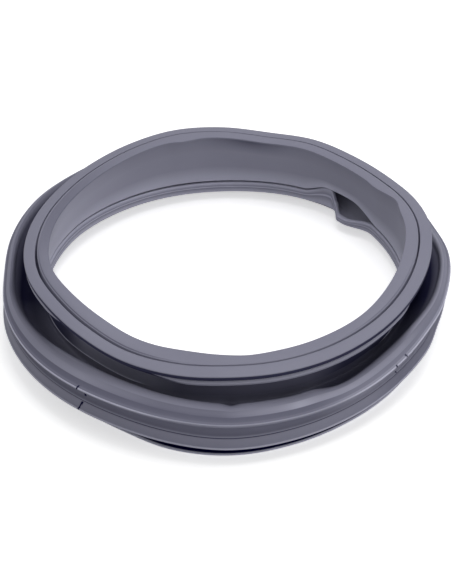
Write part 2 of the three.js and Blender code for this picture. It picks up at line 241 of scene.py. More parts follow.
# How far the fold's brow lies outside the front shoulder: the valley behind it is as deep
BROW_SHIFT = [2.8, 3.2, 7.4, 6.6, 9.1, 13.2, 15.5, 13, 13, 13, 13, 13,
              13, 13, 13, 13, 13, 15, 15.5, 10.5, 5.2, 1.5, 0.5, 1.6]
VALLEY_SHIFT = 13.0
BROW_NOTCH_ANGLE = 0.2
BROW_NOTCH_SPAN = 2.8
BROW_NOTCH_DEPTH = 1.6
BROW_DENT_BELL = (22.5, 4.5)
BROW_DENT_DEPTH = 2.2

# Moulded pocket in the lip, behind the sleeve's arched foot; a stretch may have two softnesses
ARCH_STRETCH = (118.5, 152.0, 13.0, 10.0)
ARCH_HEIGHT = 9.5
ARCH_EASE_FOOT = 4.0
ARCH_EASE_TOP = 48.0
APRON_FROM = 138.8
APRON_EASE = 2.4
APRON_LEAN = 3.0
POCKET_STRETCH = (121.0, 139.5, 11.5, 5.0)
POCKET_BULGE = 10.0
POCKET_DROP = 5.0
POCKET_FOOT_HEIGHT = 6.0
POCKET_RISE_START = 2.0
SLIT_MARGIN = 0.5

# Tones of the rubber: 1 is plain rubber, more is painted light or highlight, less is painted shade
TONE = "tone"
FOOT_TONE = 3.2
FOOT_FACE_TONE = 1.3
SLOT_MOUTH_TONE = 0.25
UNDERSIDE_TONE = 0.6
HEM_TONE = 1.8
SKIRT_FOOT_TONE = 0.92
SKIRT_FOOT_RIGHT_SHADE = 0.2
SKIRT_TOP_RIGHT_SHADE = 0.3
SKIRT_GROOVE_TONE = 0.2
WAIST_TONE = 0.62
WAIST_RIGHT_GAIN = 0.4
RIDGE_TONE = 1.35
RIDGE_LEFT_GAIN = 0.8
RIDGE_RIGHT_GAIN = 0.9
TROUGH_EDGE_TONE = 0.72
TROUGH_EDGE_RIGHT_GAIN = 0.5
TROUGH_TONE = 0.58
TROUGH_RIGHT_GAIN = 0.29
BROW_TONE = 1.1
BROW_SIDE_TONE = 0.7
BROW_RIGHT_GAIN = 0.6
SHOULDER_SIDE_TONE = 0.4
SHOULDER_RIGHT_GAIN = 0.12
VALLEY_TONE = 0.08
NECK_SIDE_TONE = 0.15
NECK_FRONT_TONE = 0.5
NECK_LEFT_TONE = 0.95
NECK_BEAD_TONE = 2.4
WIRE_LIP_TONE = 1.4
WIRE_LIP_LINE_TONE = 0.1
GROOVE_TONE = 0.0
RIM_FACE_TONE = 0.16
TUB_SLOT_TONE = 0.4
SLOT_BEAD_GAPE_SHADE = 0.5
COLLAR_LEFT_SHADE = 0.25
SLEEVE_TONE = 1.2
SLEEVE_LEFT_GAIN = 0.6
SLEEVE_TOP_SHADE = 0.5
SLEEVE_FOOT_TONE = 2.1
POCKET_TONE = 1.7
LIP_TONE = 2.0
LIP_LINE_TONE = 1.0

# Where those tones change: stretches as start, end and softness, bells as centre and width
FOOT_SEEN_STRETCH = (290, 430, 20)
SKIRT_RIGHT_STRETCH = (34, 100, 14)
RIGHT_SIDE_STRETCH = (18, 95, 16)
RIDGE_LEFT_STRETCH = (270, 352, 20)
RIDGE_RIGHT_STRETCH = (22, 95, 15)
RIGHT_FOLD_STRETCH = (50, 125, 10)
NECK_FRONT_STRETCH = (298, 398, 16)
NECK_LEFT_STRETCH = (303, 347, 12)
WIRE_LIP_FRONT_STRETCH = (338, 408, 12)
LEFT_SIDE_BELL = (250, 28)
SLEEVE_BACK_BELL = (170, 12)

# Painted highlight and painted shade on top of the fold: what each stretch or bell adds
PAINTED_LIGHT_STRETCHES = [(0.25, (4, 62, 14)), (0.15, (300, 340, 14)), (-0.1, (334, 366, 12)),
                   (-0.12, (26, 80, 12)), (-0.2, (318, 368, 12))]
PAINTED_LIGHT_BELLS = [(0.3, (17.5, 3)), (0.12, (34, 7))]

# Thin mould marks on the outer wall, each from an angle and height to another
MARKS = [((321.0, 45.7), (320.7, 40.3)), ((322.6, 39.2), (322.6, 37.2)), ((322.2, 31.0), (320.8, 20.5)),
         ((49.4, 46.6), (49.5, 43.2)), ((45.2, 41.8), (45.2, 39.2)), ((45.8, 35.8), (45.8, 33.2)),
         ((47.3, 21.9), (45.7, 20.8))]
MARK_RADIUS = 194.0
MARK_HALF_WIDTH = 0.8
MARK_TONE = 0.0
MARK_END = 0.7

# Mesh: columns round the ring, closer together at the pocket and at the marks
COLUMNS = 500
FINE_ANGLES = 14401
POCKET_MORE_COLUMNS = 1.6
POCKET_COLUMNS_STRETCH = (112, 160, 6)
MARK_MORE_COLUMNS = 3.5
MARK_COLUMNS_BELLS = [(322.0, 2.5), (46.5, 2.5)]
LONGEST_ROUNDING_SHARE = 0.45
SHORTEST_RUN = 1e-6

# Camera: the photo's view, taken from the sizes of the rings seen in it
PHOTO_WIDTH, PHOTO_HEIGHT = 452.0, 584.0
CAMERA_TARGET_HEIGHT = 40.0
CAMERA_TARGET_PIXEL = (225.57, 270.37)
CAMERA_ELEVATION = 38.5
CAMERA_ROLL = 2.0
CAMERA_DISTANCE = 1600.0
CAMERA_FOCAL_PIXELS = 1792.0
SENSOR_SIZE = 24.0
NEAREST_SEEN, FARTHEST_SEEN = 50.0, 20000.0

# Rubber: two greys in clouds, the colour of its painted deep shade, and its grain and gloss
RUBBER_DARK = (0.188, 0.187, 0.25, 1)
RUBBER_PALE = (0.23, 0.23, 0.296, 1)
PAINTED_SHADE_COLOUR = (0.0, 0.0, 0.03, 1)
CLOUD_SCALE, CLOUD_DETAIL = 14.0, 4.0
GRAIN_SCALE, GRAIN_DETAIL = 1500.0, 2.0
GRAIN_STRENGTH, GRAIN_DEPTH = 0.12, 0.3
ROUGHNESS_LEAST, ROUGHNESS_MOST = 0.5, 0.62
RUBBER_SPECULAR = 0.35

# Floor: it adds light for the camera alone, and out of the shadow's reach it turns into the backdrop
FLOOR_HALF_SIZE = 3000.0
FLOOR_COLOUR = (0.93, 0.93, 0.93, 1)
FLOOR_LIFT = 0.55
FLOOR_LIFT_FAR = 1.0
FLOOR_FADE_FROM, FLOOR_FADE_TO = 350.0, 1400.0

# Surrounding light, and the lamps: name, place, aim, size and power, in metres and watts
WHITE = (1, 1, 1, 1)
SKY_COLOUR = (0.97, 0.98, 1.0, 1)
SKY_STRENGTH = 0.25
LAMPS = [("top", (0.3, 0.15, 1.6), (0, 0, 0), 1.1, 12.5),
         ("over", (0, 0, 1.8), (0, 0, 0), 2.4, 4.0),
         ("front_right", (1.1, -1.1, 0.7), (0, 0, 0.03), 1.0, 6.0),
         ("left", (-1.5, 0, 0.8), (0, 0, 0.03), 1.0, 2.5)]


def smooth(share):
    share = np.clip(share, 0.0, 1.0)
    return share * share * (3.0 - 2.0 * share)


def mix(low, high, share):
    return low + (high - low) * share


def around(values, degrees):
    """Smooth curve through values given at even steps round a full turn."""
    values = np.asarray(values, float)
    place = np.mod(degrees, 360.0) / (360.0 / len(values))
    first = np.floor(place).astype(int)
    u = place - first
    before, start, end, after = (values[(first + step) % len(values)] for step in (-1, 0, 1, 2))
    blend = smooth(u)
    slope_in, slope_out = (end - before) / 2, (after - start) / 2
    return start * (1 - blend) + end * blend + u * (1 - u) * ((1 - u) * slope_in - u * slope_out)


def away(degrees, centre):
    """Signed angle from a centre, from -180 to 180."""
    return np.mod(degrees - centre + 180.0, 360.0) - 180.0


def window(degrees, start, end, ease_in, ease_out=None):
    """1 between two angles, with soft ends that lie inside them."""
    ease_out = ease_in if ease_out is None else ease_out
    middle, half = (start + end) / 2, (end - start) / 2
    offset = away(degrees, middle)
    return smooth((offset + half) / ease_in) * smooth((half - offset) / ease_out)


def bell(degrees, centre, width):
    """Bell of height 1 round an angle."""
    return np.exp(-((away(degrees, centre) / width) ** 2))


def ramp(low, high, height, low_height, high_height):
    """Value between two levels, held at the ends."""
    share = np.clip((height - low_height) / (high_height - low_height), 0.0, 1.0)
    return mix(low, high, share)


def column_angles():
    """Angles of the mesh's columns, closer together at the pocket and at the mould marks."""
    fine = np.linspace(0.0, 360.0, FINE_ANGLES)
    density = 1.0 + POCKET_MORE_COLUMNS * window(fine, *POCKET_COLUMNS_STRETCH)
    for place in MARK_COLUMNS_BELLS:
        density += MARK_MORE_COLUMNS * bell(fine, *place)
    total = np.concatenate([[0.0], np.cumsum((density[1:] + density[:-1]) / 2)])
    return np.interp(np.arange(COLUMNS) * total[-1] / COLUMNS, total, fine)


class Outline:
    """Closed section as rounded corners, each with a painted-light tone: 1 is plain rubber, less is
    darker.
    """

    def __init__(self, count):
        self.count = count
        self.corners = []

    def add(self, radius, height, rounding=0.0, steps=1, fill=0, tone=1.0):
        """One corner: its arc has some steps, and even rows fill the run that follows it."""
        values = [np.broadcast_to(value, self.count) for value in (radius, height, tone)]
        self.corners.append((np.stack(values, -1).astype(float), rounding, steps, fill))

    def arc(self, index):
        """Points of one rounded corner, or the corner alone where it is sharp."""
        point, rounding, steps, _ = self.corners[index]
        if not rounding:
            return [point]
        ends = []
        for neighbour in (self.corners[index - 1][0], self.corners[(index + 1) % len(self.corners)][0]):
            way = (neighbour - point)[:, :2]
            length = np.maximum(np.linalg.norm(way, axis=-1, keepdims=True), SHORTEST_RUN)
            end = point.copy()
            end[:, :2] += way / length * np.minimum(rounding, LONGEST_ROUNDING_SHARE * length)
            ends.append(end)
        return [(1 - s) ** 2 * ends[0] + 2 * s * (1 - s) * point + s * s * ends[1]
                for s in np.linspace(0.0, 1.0, steps + 1)]

    def rows(self):
        """All rows of the section: the corners' arcs, and even points along the long runs."""
        arcs = [self.arc(index) for index in range(len(self.corners))]
        rows = []
        for index, points in enumerate(arcs):
            fill = self.corners[index][3]
            start, end = points[-1], arcs[(index + 1) % len(arcs)][0]
            rows.extend(points)
            rows.extend(start + (end - start) * (step + 1) / (fill + 1) for step in range(fill))
        return rows


# Places that several stretches of the section share
SLOT_END = FOOT_OUTER_RADIUS - PANEL_SLOT_DEPTH
SLOT_TOP = FOOT_THICKNESS + PANEL_SLOT_WIDTH
WAIST_RADIUS = CREST_RADIUS - WAIST_DEPTH
ROOT_OUTER_RADIUS = NECK_RADIUS + ROOT_WIDTH
SLEEVE_FOOT_HEIGHT = LIP_HEIGHT + SLEEVE_GAP
LIP_REACH_RADIUS = SLEEVE_FOOT_RADIUS + 1.5 * WALL
ARCH_REACH_RADIUS = CREST_RADIUS - 2 * WALL
FRONT_AND_SIDE_CORNERS = [(CREST_TOP_FRONT, CREST_TOP_SIDE), (BROW_FRONT, BROW_SIDE),
                          (FLANK_FRONT, FLANK_SIDE)]


def brow_shift_at(degrees):
    """How far the brow lies outside the front shoulder, with a small notch and a dent in front."""
    notch = np.clip(1.0 - np.abs(away(degrees, BROW_NOTCH_ANGLE)) / BROW_NOTCH_SPAN, 0.0, 1.0)
    shift = around(BROW_SHIFT, degrees) + BROW_NOTCH_DEPTH * notch
    return shift - BROW_DENT_DEPTH * bell(degrees, *BROW_DENT_BELL)


def valley_at(degrees):
    """0 where the fold is flat on top, 1 where a valley lies between it and the neck."""
    return np.clip(brow_shift_at(degrees) / VALLEY_SHIFT, 0.0, 1.0)


def fold_corners(degrees):
    """Radius and height of the fold's four corners: flat in front, a steep crest at the sides."""
    valley = valley_at(degrees)
    crest_top, brow, flank = (
        [mix(low, high, valley) for low, high in zip(front, side)]
        for front, side in FRONT_AND_SIDE_CORNERS)
    shoulder = (SHOULDER_RADIUS + SHOULDER_SHARE_OF_SHIFT * brow_shift_at(degrees),
                SHOULDER_HEIGHT - SHOULDER_SIDE_DROP * valley)
    return crest_top, brow, shoulder, flank


def gape_at(degrees):
    """How far the tub slot gapes: 1 at the left front corner, less at the right one."""
    return window(degrees, *GAPE_LEFT_STRETCH) + GAPE_RIGHT_SHARE * window(degrees, *GAPE_RIGHT_STRETCH)


def bore_at(degrees):
    """Radius of the collar's inner edge."""
    bore = COLLAR_INNER_RADIUS - around(BORE_SHRINK, degrees)
    for centre, width, depth in BORE_WAVES:
        bore = bore - depth * bell(degrees, centre, width)
    return bore


def plain_at(degrees):
    """0 in front, where the photo shows the foot and the dark slot above it, and 1 elsewhere."""
    return 1.0 - window(degrees, *FOOT_SEEN_STRETCH)


def add_foot(corner, degrees):
    """Foot and panel slot: toned in front, as in the photo, and plain rubber elsewhere."""
    plain = plain_at(degrees)
    bevel_edge = FOOT_FACE_HEIGHT + FOOT_ARRIS_HALF_HEIGHT
    # A painted highlight on the foot's edge in front and on its face all round; in front also painted
    # shade, near black, on the bevel and in the slot.
    corner(FOOT_INNER_RADIUS + FOOT_SOLE_INSET, 0, FOOT_SOLE_ROUND)
    corner(FOOT_OUTER_RADIUS, 0, FOOT_EDGE_ROUND, steps=2, tone=mix(FOOT_TONE, 1.0, plain))
    corner(FOOT_OUTER_RADIUS, FOOT_FACE_HEIGHT - FOOT_ARRIS_HALF_HEIGHT, tone=FOOT_FACE_TONE)
    corner(FOOT_OUTER_RADIUS - FOOT_ARRIS_DEPTH, bevel_edge, tone=plain)
    corner(FOOT_OUTER_RADIUS - FOOT_BEVEL, FOOT_THICKNESS, tone=plain)
    corner(SLOT_END, FOOT_THICKNESS, tone=plain)
    corner(SLOT_END, SLOT_TOP, tone=plain)
    corner(FOOT_OUTER_RADIUS - PANEL_SLOT_MOUTH_INSET, SLOT_TOP, PANEL_SLOT_MOUTH_ROUND,
           tone=mix(SLOT_MOUTH_TONE, 1.0, plain))


def add_hem(corner, degrees):
    """Underside of the skirt, and the hem with its bead."""
    plain = plain_at(degrees)
    skirt_right = window(degrees, *SKIRT_RIGHT_STRETCH)
    bead_radius = HEM_RADIUS + HEM_BEAD
    # In front, painted shade under the skirt and a painted black line below the bead; a painted highlight
    # along the bead all round; painted shade on the skirt's foot at the right.
    corner(FOOT_OUTER_RADIUS + WALL, HEM_HEIGHT - WALL, BEND_ROUND, steps=2, fill=1,
           tone=mix(UNDERSIDE_TONE, 1.0, plain))
    corner(HEM_RADIUS, HEM_HEIGHT - HEM_BEAD_FOOT, EDGE_ROUND, tone=plain)
    corner(bead_radius, HEM_HEIGHT - HEM_TONE_EDGE, tone=plain)
    corner(bead_radius, HEM_HEIGHT + HEM_TONE_EDGE, tone=HEM_TONE)
    corner(bead_radius, HEM_HEIGHT + HEM_BEAD_TOP, BEAD_ROUND, steps=2, tone=HEM_TONE)
    corner(HEM_RADIUS - SKIRT_FOOT_INSET, HEM_HEIGHT + SKIRT_FOOT_RISE, SKIRT_FOOT_ROUND, steps=2, fill=2,
           tone=SKIRT_FOOT_TONE - SKIRT_FOOT_RIGHT_SHADE * skirt_right)


def add_skirt_and_waist(corner, degrees):
    """Skirt's top edge with a fine groove, and the waist under the crest."""
    # Painted shade on the skirt's top edge at the right, in its fine groove, and in the waist, which is
    # less dark at the right.
    skirt_tone = 1.0 - SKIRT_TOP_RIGHT_SHADE * window(degrees, *SKIRT_RIGHT_STRETCH)
    waist_tone = WAIST_TONE + WAIST_RIGHT_GAIN * window(degrees, *RIGHT_SIDE_STRETCH)
    groove_radius = SKIRT_TOP_RADIUS - SKIRT_GROOVE_DEPTH
    corner(SKIRT_TOP_RADIUS, SKIRT_TOP_HEIGHT - SKIRT_EDGE_DROP, BEAD_ROUND, tone=skirt_tone)
    corner(groove_radius, SKIRT_TOP_HEIGHT, tone=SKIRT_GROOVE_TONE)
    corner(groove_radius, SKIRT_TOP_HEIGHT + SKIRT_GROOVE_WIDTH, tone=SKIRT_GROOVE_TONE)
    corner(SKIRT_TOP_RADIUS - SKIRT_GROOVE_LIP_INSET, SKIRT_TOP_HEIGHT + SKIRT_GROOVE_LIP_RISE, BEAD_ROUND)
    corner(WAIST_RADIUS, WAIST_FOOT, BEND_ROUND, steps=3, fill=1, tone=waist_tone)
    corner(WAIST_RADIUS, WAIST_TOP, BEND_ROUND, steps=3, fill=1, tone=waist_tone)


def add_crest(corner, degrees):
    """Crest: the ridge and a shallow trough behind it."""
    # A painted highlight along the ridge, stronger at the left and right, and painted shade in the trough
    # behind it, less at the right.
    right_side = window(degrees, *RIGHT_SIDE_STRETCH)
    ridge_tone = RIDGE_TONE + RIDGE_LEFT_GAIN * window(degrees, *RIDGE_LEFT_STRETCH)
    ridge_tone = ridge_tone + RIDGE_RIGHT_GAIN * window(degrees, *RIDGE_RIGHT_STRETCH)
    trough_radius = CREST_RADIUS - TROUGH_INSET + TROUGH_SIDE_SHIFT * valley_at(degrees)
    corner(CREST_RADIUS, CREST_HEIGHT, CREST_ROUND, steps=2)
    corner(CREST_RADIUS, RIDGE_HEIGHT, RIDGE_SIZE, steps=3, tone=ridge_tone)
    corner(CREST_RADIUS - TROUGH_EDGE_INSET, RIDGE_HEIGHT + TROUGH_EDGE_RISE, LIP_ROUND, steps=2,
           tone=TROUGH_EDGE_TONE + TROUGH_EDGE_RIGHT_GAIN * right_side)
    corner(trough_radius, RIDGE_HEIGHT + TROUGH_RISE, TROUGH_ROUND, steps=3, fill=1,
           tone=TROUGH_TONE + TROUGH_RIGHT_GAIN * right_side)


def add_fold(corner, degrees):
    """Front: a flat top with a sharp shoulder. Sides and back: a narrow crest with a steep flank."""
    valley = valley_at(degrees)
    right_fold = window(degrees, *RIGHT_FOLD_STRETCH)
    # Painted highlight and painted shade on top of the fold, by stretches and bells.
    painted_light = sum(gain * window(degrees, *stretch) for gain, stretch in PAINTED_LIGHT_STRETCHES)
    painted_light = painted_light + sum(gain * bell(degrees, *place) for gain, place in PAINTED_LIGHT_BELLS)
    # Painted shade deepens into the valley behind the fold; the brow and shoulder get painted light in
    # front and on the right.
    valley_tone = mix(1.0, VALLEY_TONE, valley)
    crest_top, brow, shoulder, flank = fold_corners(degrees)
    corner(*crest_top, CREST_TOP_ROUND, steps=4, fill=1, tone=1.0 + painted_light)
    corner(*brow, BROW_ROUND, steps=4, fill=1,
           tone=mix(BROW_TONE, BROW_SIDE_TONE, valley) + BROW_RIGHT_GAIN * right_fold)
    corner(*shoulder, SHOULDER_ROUND, steps=4, fill=1,
           tone=mix(1.0, SHOULDER_SIDE_TONE, valley) + SHOULDER_RIGHT_GAIN * right_fold)
    corner(*flank, BEND_ROUND, steps=3, fill=1, tone=valley_tone)
    corner(ROOT_OUTER_RADIUS, ROOT_HEIGHT, ROOT_ROUND, steps=2, tone=valley_tone)
    corner(NECK_RADIUS, ROOT_HEIGHT, NECK_ROOT_ROUND, steps=2, fill=1, tone=valley_tone)


def add_neck(corner, degrees):
    """Neck with painted shade under the collar; a fine bead with painted highlight where the photo shows
    one.
    """
    valley = valley_at(degrees)
    valley_tone = mix(1.0, VALLEY_TONE, valley)
    tone = mix(NECK_SIDE_TONE, NECK_FRONT_TONE, window(degrees, *NECK_FRONT_STRETCH))
    tone = tone + (NECK_LEFT_TONE - NECK_FRONT_TONE) * window(degrees, *NECK_LEFT_STRETCH)
    bead = sum(window(degrees, *stretch) for stretch in NECK_BEAD_STRETCHES)
    climb = np.clip(away(degrees, NECK_BEAD_CLIMB_CENTRE) / NECK_BEAD_CLIMB_SPAN, -1, 1)
    climb = NECK_BEAD_CLIMB * climb * window(degrees, *NECK_BEAD_CLIMB_STRETCH)
    bead_foot = NECK_BEAD_HEIGHT - NECK_BEAD_DIP * bell(degrees, *NECK_BEAD_DIP_BELL) + climb
    corner(NECK_RADIUS, bead_foot, EDGE_ROUND, tone=mix(tone, valley_tone, valley))
    corner(NECK_RADIUS + NECK_BEAD * bead, bead_foot + NECK_BEAD_MIDDLE, BEAD_ROUND, steps=2,
           tone=mix(tone, NECK_BEAD_TONE, bead))
    corner(NECK_RADIUS, bead_foot + NECK_BEAD_WIDTH, EDGE_ROUND, fill=2, tone=tone)
    corner(NECK_RADIUS, NECK_TOP_HEIGHT, NECK_TOP_ROUND, steps=2, fill=1, tone=tone)


def add_wire_lip_and_rim(corner, degrees):
    """Wire lip in two beads, the wire groove and the collar's rim."""
    rim_radius = COLLAR_INNER_RADIUS + COLLAR_WIDTH
    rim_height = RING_HEIGHT - COLLAR_FALL
    groove_radius = rim_radius - WIRE_GROOVE_DEPTH
    groove_top = rim_height - COLLAR_RIM_HEIGHT
    groove_foot = groove_top - WIRE_GROOVE_WIDTH
    hidden = sum(window(degrees, *stretch) for stretch in WIRE_LIP_HIDDEN_STRETCHES)
    lip_radius = rim_radius - mix(WIRE_LIP_SETBACK, WIRE_LIP_HIDDEN_SETBACK, hidden)
    lip_foot = groove_foot - WIRE_LIP_HEIGHT
    # A painted highlight on the wire lip, painted shade on its line, on its lower bead away from the
    # front, in the groove and on the rim's face.
    lower_tone = mix(WIRE_LIP_LINE_TONE, 1.0, window(degrees, *WIRE_LIP_FRONT_STRETCH))
    corner(lip_radius - WIRE_LIP_LOWER_INSET, lip_foot, LIP_ROUND, steps=2, tone=lower_tone)
    corner(lip_radius - WIRE_LIP_LOWER_INSET, lip_foot + WIRE_LIP_LOWER_WIDTH, EDGE_ROUND, tone=lower_tone)
    corner(lip_radius - WIRE_LIP_LINE_INSET, lip_foot + WIRE_LIP_LINE_HEIGHT, tone=WIRE_LIP_LINE_TONE)
    corner(lip_radius, lip_foot + WIRE_LIP_UPPER_HEIGHT, EDGE_ROUND, tone=WIRE_LIP_TONE)
    corner(lip_radius - WIRE_LIP_SLOPE, groove_foot, EDGE_ROUND, tone=WIRE_LIP_TONE)
    corner(groove_radius, groove_foot, tone=GROOVE_TONE)
    corner(groove_radius, groove_top, tone=GROOVE_TONE)
    corner(rim_radius, groove_top, RIM_FOOT_ROUND, tone=RIM_FACE_TONE)
    corner(rim_radius, rim_height - RIM_FACE_TOP, tone=RIM_FACE_TONE)
    corner(rim_radius, rim_height, COLLAR_RIM_ROUND, steps=4, fill=1)


def add_tub_slot(corner, degrees):
    """Tub slot in the collar's face, with the fine bead along its inner side."""
    gape = gape_at(degrees)
    # Painted shade in the tub slot, on its bead where the slot gapes, and on the collar at the left.
    collar_tone = 1.0 - COLLAR_LEFT_SHADE * bell(degrees, *LEFT_SIDE_BELL)
    slot_inner = COLLAR_INNER_RADIUS + TUB_SLOT_INSET
    width = TUB_SLOT_WIDTH + TUB_SLOT_MORE * (1.0 - window(degrees, *TUB_SLOT_NARROW_STRETCH))
    slot_outer = slot_inner + width + TUB_SLOT_GAPE * gape
    slot_foot = RING_HEIGHT - TUB_SLOT_DEPTH
    bead_top = RING_HEIGHT - SLOT_BEAD_TOP_DROP - SLOT_BEAD_GAPE_DROP * gape
    bead_inner = slot_inner - SLOT_BEAD_WIDTH
    corner(slot_outer, RING_HEIGHT - TUB_SLOT_OUTER_DROP, TUB_SLOT_OUTER_ROUND, steps=2)
    corner(slot_outer, slot_foot, tone=TUB_SLOT_TONE)
    corner(slot_inner, slot_foot, tone=TUB_SLOT_TONE)
    corner(slot_inner, bead_top, BEAD_ROUND)
    corner(bead_inner, bead_top, tone=1.0 - SLOT_BEAD_GAPE_SHADE * gape)
    corner(bead_inner - SLOT_BEAD_EDGE, RING_HEIGHT - SLOT_BEAD_EDGE_DROP, EDGE_ROUND, fill=1,
           tone=collar_tone)
    corner(bore_at(degrees), RING_HEIGHT, BORE_ROUND, steps=3, tone=collar_tone)


def add_sleeve(corner, degrees):
    """Sleeve from the collar's inner edge down to its foot above the lip."""
    bore = bore_at(degrees)
    left_side = bell(degrees, *LEFT_SIDE_BELL)
    # Painted light on the sleeve, more at the left; painted shade under the collar's edge at the back;
    # painted light at its foot and painted black shade under the foot.
    top_tone = 1.0 - SLEEVE_TOP_SHADE * bell(degrees, *SLEEVE_BACK_BELL) + SLEEVE_LEFT_GAIN * left_side
    middle_radius = (SLEEVE_FOOT_RADIUS + bore) / 2 + SLEEVE_BOW
    middle_height = (SLEEVE_FOOT_HEIGHT + RING_HEIGHT) / 2
    corner(bore + BORE_EDGE_INSET, RING_HEIGHT - BORE_EDGE_DROP, EDGE_ROUND, fill=2, tone=top_tone)
    corner(middle_radius, middle_height, SLEEVE_BOW_ROUND, steps=2, fill=3,
           tone=SLEEVE_TONE + SLEEVE_LEFT_GAIN * left_side)
    corner(SLEEVE_FOOT_RADIUS, SLEEVE_FOOT_HEIGHT, LIP_ROUND, steps=2, tone=SLEEVE_FOOT_TONE)
    corner(SLEEVE_FOOT_RADIUS + WALL, SLEEVE_FOOT_HEIGHT, LIP_ROUND, tone=0)


def add_hollow(corner, degrees):
    """Inside of the fold, which opens by the slit between the sleeve's foot and the lip."""
    crest_top, brow, shoulder, flank = fold_corners(degrees)
    # Painted light inside the hollow and the pocket, which the slit shows.
    corner(SLEEVE_FOOT_RADIUS + WALL, ROOT_HEIGHT - WALL, tone=POCKET_TONE)
    corner(ROOT_OUTER_RADIUS + WALL / 2, ROOT_HEIGHT - WALL, HOLLOW_ROUND, tone=POCKET_TONE)
    corner(flank[0] + WALL, flank[1] - WALL / 2, HOLLOW_ROUND)
    corner(shoulder[0] + WALL, shoulder[1] - WALL)
    corner(brow[0] + HOLLOW_BROW_SHIFT, brow[1] - WALL)
    corner(crest_top[0] - HOLLOW_CREST_SHIFT, crest_top[1] - WALL)
    corner(CREST_RADIUS - WALL, CREST_HEIGHT - HOLLOW_CREST_SHIFT, HOLLOW_CREST_ROUND)
    corner(WAIST_RADIUS - WALL, WAIST_TOP)
    corner(WAIST_RADIUS - WALL, WAIST_FOOT)
    corner(SKIRT_TOP_RADIUS - WALL, SKIRT_TOP_HEIGHT)
    corner(HEM_RADIUS - WALL, HEM_HEIGHT + WALL)
    corner(FOOT_OUTER_RADIUS, HEM_HEIGHT + HOLLOW_FOOT_RISE, HOLLOW_ROUND)
    corner(SLOT_END, SLOT_TOP + WALL, HOLLOW_ROUND, fill=1, tone=POCKET_TONE)


def add_lip(corner, degrees):
    """Lip with its rib, the same all round before it is warped."""
    lip_top_radius = LIP_RADIUS + LIP_LEAN
    # Painted light on the lip, with plain rubber along the lines beside its rib.
    corner(lip_top_radius + WALL, LIP_TIP_HEIGHT, HOLLOW_ROUND, fill=2, tone=POCKET_TONE)
    corner(lip_top_radius + WALL, LIP_HEIGHT, LIP_OUTER_ROUND, steps=2, tone=LIP_TONE)
    corner(lip_top_radius, LIP_HEIGHT, LIP_INNER_ROUND, steps=3, fill=1, tone=LIP_TONE)
    corner(LIP_RADIUS + LIP_LINE_TOP_INSET, LIP_RIB_HEIGHT + LIP_RIB_HALF_WIDTH, tone=LIP_LINE_TONE)
    corner(LIP_RADIUS - LIP_RIB, LIP_RIB_HEIGHT, EDGE_ROUND, tone=LIP_TONE)
    corner(LIP_RADIUS + LIP_LINE_FOOT_INSET, LIP_RIB_HEIGHT - LIP_RIB_HALF_WIDTH, fill=1,
           tone=LIP_LINE_TONE)
    corner(LIP_RADIUS, LIP_TIP_HEIGHT, LIP_ROUND, steps=3, tone=LIP_TONE)
    corner(LIP_RADIUS + LIP_TIP_SIZE, LIP_TIP_HEIGHT - LIP_TIP_SIZE, LIP_ROUND, steps=2, fill=2)


def section(degrees):
    """The section at each angle, upwards on the outside and downwards on the inside."""
    outline = Outline(len(degrees))
    for add_part in (add_foot, add_hem, add_skirt_and_waist, add_crest, add_fold, add_neck,
                     add_wire_lip_and_rim, add_tub_slot, add_sleeve, add_hollow, add_lip):
        add_part(outline.add, degrees)
    return outline.rows()


def outer_warp(height, degrees):
    """Swell and rise of the outer wall: from the flat foot by hem and crest to the collar."""
    foot_swell, body_swell = around(FOOT_SWELL, degrees), around(BODY_SWELL, degrees)
    body = ramp(foot_swell, body_swell, height, FOOT_THICKNESS, HEM_HEIGHT)
    tuck = ramp(-SKIRT_TUCK, CREST_SWELL, height, SKIRT_TOP_HEIGHT, CREST_HEIGHT)
    body = body + tuck * window(degrees, *TUCK_STRETCH)
    hem = ramp(0.0, around(HEM_RISE, degrees), height, 0.0, HEM_HEIGHT)
    crest = ramp(hem, around(CREST_RISE, degrees), height, SKIRT_TOP_HEIGHT, CREST_HEIGHT)
    return (ramp(body, around(TOP_SWELL, degrees), height, SHOULDER_HEIGHT, NECK_TOP_HEIGHT),
            ramp(crest, around(TOP_RISE, degrees), height, SHOULDER_HEIGHT, NECK_TOP_HEIGHT))


def inner_warp(height, degrees):
    """Swell and rise of the lip and the sleeve."""
    lip_swell = around(LIP_SWELL, degrees)
    lip_rise = ramp(0.0, around(LIP_RISE, degrees), height, 0.0, LIP_TIP_HEIGHT)
    return (ramp(lip_swell, around(TOP_SWELL, degrees), height, LIP_HEIGHT, NECK_TOP_HEIGHT),
            ramp(lip_rise, around(TOP_RISE, degrees), height, LIP_HEIGHT, NECK_TOP_HEIGHT))


def pocket_warp(radius, height, degrees):
    """The pocket: the sleeve's foot arches up, and the lip bulges inwards beside a raised apron."""
    arch = ARCH_HEIGHT * window(degrees, *ARCH_STRETCH)
    apron = arch * smooth((degrees - APRON_FROM) / APRON_EASE)
    arch = arch * ramp(1.0, 0.0, height, SLEEVE_FOOT_HEIGHT + ARCH_EASE_FOOT, ARCH_EASE_TOP)
    arch = arch * ramp(1.0, 0.0, radius, NECK_RADIUS + WALL, ARCH_REACH_RADIUS)
    arch = np.where(height > SLEEVE_FOOT_HEIGHT - SLIT_MARGIN, arch, 0.0)
    on_lip = (radius < LIP_REACH_RADIUS) & (height <= LIP_HEIGHT + SLIT_MARGIN)
    pocket = window(degrees, *POCKET_STRETCH)
    tall = ramp(0.0, 1.0, height, LIP_TIP_HEIGHT - POCKET_RISE_START, LIP_HEIGHT)
    bulge = POCKET_BULGE * pocket * ramp(0.0, 1.0, height, POCKET_FOOT_HEIGHT, LIP_TIP_HEIGHT)
    lip_rise = (apron - POCKET_DROP * pocket) * tall
    lip_swell = APRON_LEAN * apron / ARCH_HEIGHT * tall - bulge
    return np.where(on_lip, lip_swell, 0.0), np.where(on_lip, lip_rise, arch)


